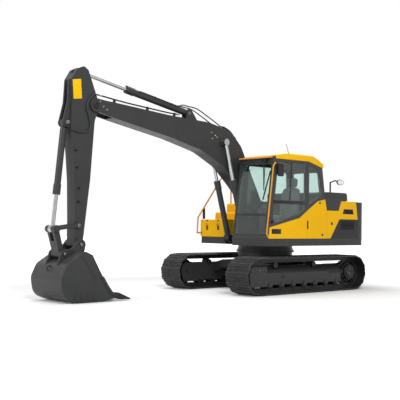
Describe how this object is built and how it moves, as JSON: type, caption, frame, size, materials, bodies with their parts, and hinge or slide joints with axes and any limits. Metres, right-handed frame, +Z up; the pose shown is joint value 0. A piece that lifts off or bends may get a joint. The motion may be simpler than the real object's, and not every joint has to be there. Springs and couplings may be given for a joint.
{
  "type": "crawler excavator",
  "caption": "Crawler excavator with a dark grey boom, arm and bucket, yellow body panels, a glazed cab with a seat, and steel tracks with grousers.",
  "frame": {"origin": "on the ground under the middle of the whole length and width, with the upper structure facing forward", "axes": "+X forward towards the bucket, +Y to the left, +Z up"},
  "size_m": [7.6213, 2.59, 4.1157],
  "materials": {
    "charcoal_paint": "satin dark grey machine paint with light dust",
    "black_paint": "satin black paint",
    "yellow_paint": "glossy warm yellow machine paint",
    "orange_paint": "satin orange paint on tube",
    "track_steel": "dull forged steel, scuffed at the grousers",
    "bare_steel": "ground steel pins",
    "rod_chrome": "hard chrome on piston rods",
    "tinted_glass": "lightly tinted safety glass",
    "seat_fabric": "dark woven seat cloth",
    "cab_plastic": "grained dark plastic"
  },
  "bodies": {
    "undercarriage": {"car_body": "charcoal_paint", "track_frame_left": "charcoal_paint", "track_frame_right": "charcoal_paint", "track_left": "track_steel", "track_right": "track_steel", "front_idlers": "track_steel", "drive_sprockets": "track_steel", "bottom_rollers": "track_steel", "carrier_rollers": "track_steel", "swing_bearing": "black_paint"},
    "upper": {"platform": "charcoal_paint", "platform_pins": "bare_steel", "counterweight": "charcoal_paint", "engine_block": "black_paint", "engine_bulkhead": "charcoal_paint", "hydraulic_tank": "yellow_paint", "fuel_tank": "yellow_paint", "toolbox": "yellow_paint", "hand_rails": "orange_paint", "cab_grab_bars": "orange_paint", "cab_floor": "cab_plastic", "cab_front_frame": "black_paint", "cab_right_wall": "black_paint", "cab_rear_wall": "black_paint", "cab_quarter_panel": "yellow_paint", "cab_quarter_frame": "black_paint", "cab_roof": "yellow_paint", "cab_glass": "tinted_glass", "operator_seat": "seat_fabric", "control_consoles": "cab_plastic"},
    "cab_door": {"cab_door_panel": "yellow_paint", "cab_door_frame": "black_paint", "door_glass": "tinted_glass", "door_mirror": "black_paint"},
    "left_door": {"left_service_door": "yellow_paint", "left_grille": "black_paint", "door_vent": "black_paint"},
    "right_door": {"right_service_door": "yellow_paint"},
    "hood": {"engine_hood": "charcoal_paint", "hood_side_panel": "charcoal_paint", "rear_mirror": "black_paint"},
    "box_lid": {"toolbox_lid": "yellow_paint"},
    "boom": {"boom": "charcoal_paint", "boom_pins": "bare_steel", "boom_pipes": "black_paint"},
    "boom_barrels": {"boom_cylinder_barrels": "charcoal_paint"},
    "boom_rods": {"boom_cylinder_rods": "rod_chrome"},
    "arm_barrel": {"arm_cylinder_barrel": "charcoal_paint"},
    "arm_rod": {"arm_cylinder_rod": "rod_chrome"},
    "arm": {"arm": "charcoal_paint", "arm_pins": "bare_steel"},
    "bucket_barrel": {"bucket_cylinder_barrel": "charcoal_paint"},
    "bucket_rod": {"bucket_cylinder_rod": "rod_chrome"},
    "idlers": {"idler_links": "charcoal_paint"},
    "bucket": {"bucket_shell": "charcoal_paint", "bucket_sides": "charcoal_paint", "bucket_lip": "track_steel", "bucket_pins": "bare_steel"},
    "bucket_link": {"bucket_link": "charcoal_paint"}
  },
  "joints": [
    {"name": "swing", "type": "hinge", "parent": "undercarriage", "child": "upper", "pos_m": [-1.62, 0, 0.88], "axis": [0, 0, 1], "continuous": true},
    {"name": "boom", "type": "hinge", "parent": "upper", "child": "boom", "pos_m": [-1.3, 0, 1.65], "axis": [0, -1, 0], "range_deg": [-46, 43]},
    {"name": "arm", "type": "hinge", "parent": "boom", "child": "arm", "pos_m": [2.94, 0, 3.458], "axis": [0, 1, 0], "range_deg": [-75, 35]},
    {"name": "bucket", "type": "hinge", "parent": "arm", "child": "bucket", "pos_m": [3.242, 0, 0.988], "axis": [0, 1, 0], "range_deg": [-70, 80]},
    {"name": "cab_door", "type": "hinge", "parent": "upper", "child": "cab_door", "pos_m": [-1.533, 1.255, 1.9], "axis": [0, 0, 1], "range_deg": [0, 150]},
    {"name": "left_door", "type": "hinge", "parent": "upper", "child": "left_door", "pos_m": [-3.23, 1.255, 1.5], "axis": [0, 0, 1], "range_deg": [0, 100]},
    {"name": "right_door", "type": "hinge", "parent": "upper", "child": "right_door", "pos_m": [-2.15, -1.255, 1.5], "axis": [0, 0, 1], "range_deg": [0, 100]},
    {"name": "hood", "type": "hinge", "parent": "upper", "child": "hood", "pos_m": [-3.23, 0, 1.908], "axis": [0, -1, 0], "range_deg": [0, 60]},
    {"name": "box_lid", "type": "hinge", "parent": "upper", "child": "box_lid", "pos_m": [-1.288, -0.842, 1.483], "axis": [0, -1, 0], "range_deg": [0, 85]},
    {"name": "boom_cylinder_pivot", "type": "hinge", "parent": "upper", "child": "boom_barrels", "pos_m": [-0.74, 0, 1.09], "axis": [0, -1, 0], "range_deg": [-39, 37]},
    {"name": "boom_cylinder_stroke", "type": "slide", "parent": "boom_barrels", "child": "boom_rods", "axis": [0.2851, 0, 0.9585], "range_m": [-0.56, 0.525]},
    {"name": "arm_cylinder_pivot", "type": "hinge", "parent": "boom", "child": "arm_barrel", "pos_m": [0.67, 0, 3.565], "axis": [0, 1, 0], "range_deg": [-6, 4]},
    {"name": "arm_cylinder_stroke", "type": "slide", "parent": "arm_barrel", "child": "arm_rod", "axis": [0.9828, 0, 0.1848], "range_m": [-0.72, 0.34]},
    {"name": "bucket_cylinder_pivot", "type": "hinge", "parent": "arm", "child": "bucket_barrel", "pos_m": [3.5, 0, 3.105], "axis": [0, 1, 0], "range_deg": [-6, 7]},
    {"name": "bucket_cylinder_stroke", "type": "slide", "parent": "bucket_barrel", "child": "bucket_rod", "axis": [0.105, 0, -0.9945], "range_m": [-0.37, 0.42]},
    {"name": "idler_pivot", "type": "hinge", "parent": "arm", "child": "idlers", "pos_m": [3.25, 0, 1.322], "axis": [0, 1, 0], "range_deg": [-55, 63]},
    {"name": "link_pivot", "type": "hinge", "parent": "bucket", "child": "bucket_link", "pos_m": [3.57, 0, 0.822], "axis": [0, -1, 0], "range_deg": [-50, 58]}
  ],
  "couplings": [
    {"joint": "boom_cylinder_pivot", "follows": "boom", "ratio": 0.823},
    {"joint": "boom_cylinder_stroke", "follows": "boom", "m_per_rad": 0.686},
    {"joint": "arm_cylinder_pivot", "follows": "arm", "ratio": 0.056},
    {"joint": "arm_cylinder_stroke", "follows": "arm", "m_per_rad": 0.541},
    {"joint": "bucket_cylinder_pivot", "follows": "bucket", "ratio": 0.056},
    {"joint": "bucket_cylinder_stroke", "follows": "bucket", "m_per_rad": 0.285},
    {"joint": "idler_pivot", "follows": "bucket", "ratio": 0.764},
    {"joint": "link_pivot", "follows": "bucket", "ratio": 0.701}
  ]
}
